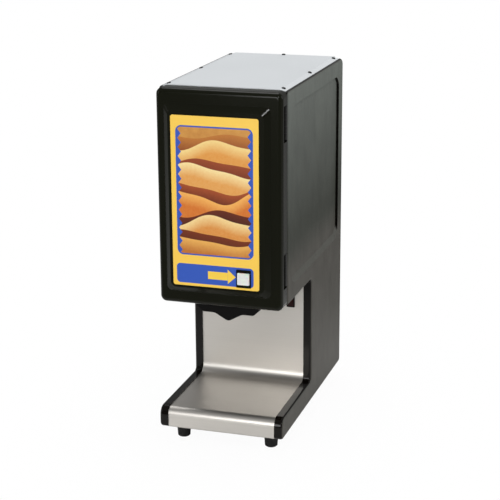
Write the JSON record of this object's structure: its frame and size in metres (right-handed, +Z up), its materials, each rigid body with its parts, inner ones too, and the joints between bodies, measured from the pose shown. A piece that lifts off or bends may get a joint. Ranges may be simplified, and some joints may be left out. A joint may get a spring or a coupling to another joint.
{
  "type": "heated food dispenser",
  "caption": "Countertop heated dispenser for bagged sauce: C-shaped cabinet, hinged front door with a dispense button, squeeze-tube pump, warm-air cavity and a forward tray.",
  "frame": {"origin": "middle of the whole outline, on the surface that the feet stand on", "axes": "+X to the viewer's right, +Y from the door to the rear, +Z up"},
  "size_m": [0.225, 0.42, 0.633],
  "materials": {
    "black_plastic": "textured",
    "gloss_black": "glossy",
    "liner_plastic": "satin",
    "graphic": "printed",
    "cap": "translucent",
    "rocker_red": "translucent",
    "painted_top": "satin",
    "stainless": "brushed",
    "zinc_sheet": "satin",
    "screw_black": "black",
    "screw_steel": "bright",
    "hinge_dark": "black",
    "rubber": "matte",
    "seal": "matte",
    "tube": "translucent",
    "white_plastic": "satin",
    "grey_plastic": "satin",
    "aluminium": "satin",
    "motor_metal": "satin",
    "element": "matte",
    "magnet": "matte",
    "blanket": "matte",
    "board": "satin",
    "core": "varnished"
  },
  "bodies": {
    "cabinet": {"left_side_panel": "black_plastic", "right_side_panel": "black_plastic", "top_cover": "painted_top", "top_cover_screws": "screw_black", "splash_and_tray": "stainless", "base_plate": "zinc_sheet", "rubber_feet": "rubber", "foot_screws": "screw_steel", "rear_cover": "zinc_sheet", "rear_cover_screws": "screw_black", "power_inlet": "black_plastic", "power_switch_body": "black_plastic", "cabinet_hinge_leaves": "hinge_dark", "hinge_pins": "hinge_dark", "soffit": "zinc_sheet", "nozzle_shroud": "black_plastic", "front_frame": "stainless", "door_seal": "seal", "cavity_liner": "stainless", "insulation_blanket": "blanket", "air_baffle": "stainless", "fan_motor": "motor_metal", "heating_element": "element", "element_clips": "aluminium", "bag_rack": "stainless", "bag_fitment": "white_plastic", "dispensing_tube": "tube", "pump_housing": "grey_plastic", "jaw_guide_rods": "screw_steel", "pump_plate": "zinc_sheet", "gearmotor": "motor_metal", "gearmotor_screws": "screw_steel", "catch_magnet": "magnet", "board_standoffs": "screw_steel", "control_board": "board", "transformer": "core", "terminal_block": "black_plastic", "thermostat": "black_plastic", "high_limit_switch": "aluminium"},
    "door": {"door_shell": "gloss_black", "door_liner": "liner_plastic", "door_liner_screws": "screw_steel", "graphic_panel": "graphic", "switch_bezel": "black_plastic", "dispense_switch": "black_plastic", "door_hinge_leaves": "hinge_dark", "catch_strike": "zinc_sheet"},
    "button": {"dispense_button": "cap"},
    "rocker": {"power_rocker": "rocker_red"},
    "fan": {"fan_impeller": "grey_plastic"},
    "jaw": {"pump_jaw": "grey_plastic"},
    "rotor": {"pump_rotor": "aluminium", "roller_pins": "screw_steel", "drive_shaft": "screw_steel", "rotor_retainer": "screw_steel"},
    "roller_1": {"pump_roller_1": "white_plastic"},
    "roller_2": {"pump_roller_2": "white_plastic"},
    "roller_3": {"pump_roller_3": "white_plastic"}
  },
  "joints": [
    {"name": "door_hinge", "type": "hinge", "parent": "cabinet", "child": "door", "pos_m": [0.109, -0.16962, 0.45], "axis": [0, 0, 1], "range_deg": [0, 120]},
    {"name": "button_press", "type": "slide", "parent": "door", "child": "button", "axis": [0, 1, 0], "range_m": [0, 0.0025], "stiffness_N_per_m": 800, "springref_m": -0.001},
    {"name": "rocker_tilt", "type": "hinge", "parent": "cabinet", "child": "rocker", "pos_m": [0.0727, -0.005, 0.2158], "axis": [-1, 0, 0], "range_deg": [0, 19]},
    {"name": "fan_spin", "type": "hinge", "parent": "cabinet", "child": "fan", "pos_m": [0, 0.1485, 0.484], "axis": [0, 1, 0], "continuous": true},
    {"name": "jaw_slide", "type": "slide", "parent": "cabinet", "child": "jaw", "axis": [-1, 0, 0], "range_m": [0, 0.012]},
    {"name": "rotor_spin", "type": "hinge", "parent": "cabinet", "child": "rotor", "pos_m": [0.01021, -0.135, 0.302], "axis": [0, 1, 0], "continuous": true},
    {"name": "roller_1_spin", "type": "hinge", "parent": "rotor", "child": "roller_1", "pos_m": [0.01021, -0.135, 0.3197], "axis": [0, 1, 0], "continuous": true},
    {"name": "roller_2_spin", "type": "hinge", "parent": "rotor", "child": "roller_2", "pos_m": [-0.00512, -0.135, 0.29315], "axis": [0, 1, 0], "continuous": true},
    {"name": "roller_3_spin", "type": "hinge", "parent": "rotor", "child": "roller_3", "pos_m": [0.02554, -0.135, 0.29315], "axis": [0, 1, 0], "continuous": true}
  ],
  "couplings": [
    {"joint": "roller_1_spin", "follows": "rotor_spin", "ratio": -3.5714},
    {"joint": "roller_2_spin", "follows": "rotor_spin", "ratio": -3.5714},
    {"joint": "roller_3_spin", "follows": "rotor_spin", "ratio": -3.5714}
  ]
}
